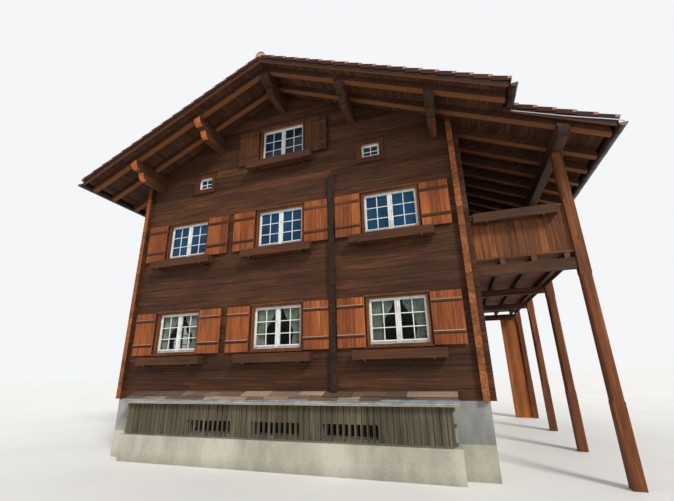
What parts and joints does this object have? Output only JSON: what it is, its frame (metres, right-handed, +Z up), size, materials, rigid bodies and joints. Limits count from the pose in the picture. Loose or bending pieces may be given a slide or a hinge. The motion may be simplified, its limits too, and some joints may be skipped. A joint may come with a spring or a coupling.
{
  "type": "alpine log chalet",
  "caption": "Alpine log house on a masonry plinth, with a wide tiled gable roof on purlins, shuttered windows and a roofed timber gallery along one side.",
  "frame": {"origin": "middle of the whole outline seen from above, on the ground under the plinth", "axes": "+X to the right along the gabled front, towards the gallery; +Y into the house from the front; +Z up"},
  "size_m": [12.422, 11.06, 9.2828],
  "materials": {
    "masonry": "rough plastered concrete",
    "log_wood": "sun-browned squared logs",
    "roof_wood": "dark brown sawn timber",
    "board_wood": "brown planed boards",
    "console_wood": "oiled orange-brown timber",
    "trim_wood": "oiled casings and verge boards",
    "shutter_wood": "oiled orange-brown shutter boards",
    "gallery_wood": "oiled gallery timber",
    "floor_wood": "pale planed floor boards",
    "door_wood": "oiled door boards",
    "box_wood": "dark stained planting boxes",
    "grey_boards": "weathered grey boards",
    "white_paint": "painted window frames",
    "pane": "clear window glass",
    "clay_tile": "weathered brown-red roof tiles",
    "zinc": "dull grey sheet metal"
  },
  "bodies": {
    "root": {"plinth": "masonry", "base_boards": "grey_boards", "base_roof": "clay_tile", "cellar_vents": "grey_boards", "ground_floor": "floor_wood", "first_floor": "floor_wood", "attic_floor": "floor_wood", "front_wall": "log_wood", "rear_wall": "log_wood", "left_wall": "log_wood", "right_wall": "log_wood", "cross_wall_ends": "log_wood", "purlins": "roof_wood", "consoles": "console_wood", "left_rafters": "roof_wood", "right_rafters": "roof_wood", "left_roof_boards": "board_wood", "right_roof_boards": "board_wood", "gallery_roof_boards": "board_wood", "left_tiles": "clay_tile", "right_tiles": "clay_tile", "gallery_tiles": "clay_tile", "ridge_tiles": "clay_tile", "barge_boards": "trim_wood", "gutters": "zinc", "ground_casings": "trim_wood", "first_casings": "trim_wood", "attic_casings": "trim_wood", "ground_windows": "white_paint", "first_windows": "white_paint", "attic_windows": "white_paint", "window_glass": "pane", "ground_shutters": "shutter_wood", "first_shutters": "shutter_wood", "attic_shutters": "shutter_wood", "window_boxes": "box_wood", "entrance_door": "door_wood", "gallery_door": "door_wood", "gallery_beams": "gallery_wood", "gallery_joists": "gallery_wood", "gallery_floor": "gallery_wood", "gallery_posts": "gallery_wood", "gallery_parapet": "gallery_wood", "gallery_boxes": "box_wood", "passage_screen": "gallery_wood"}
  },
  "joints": []
}
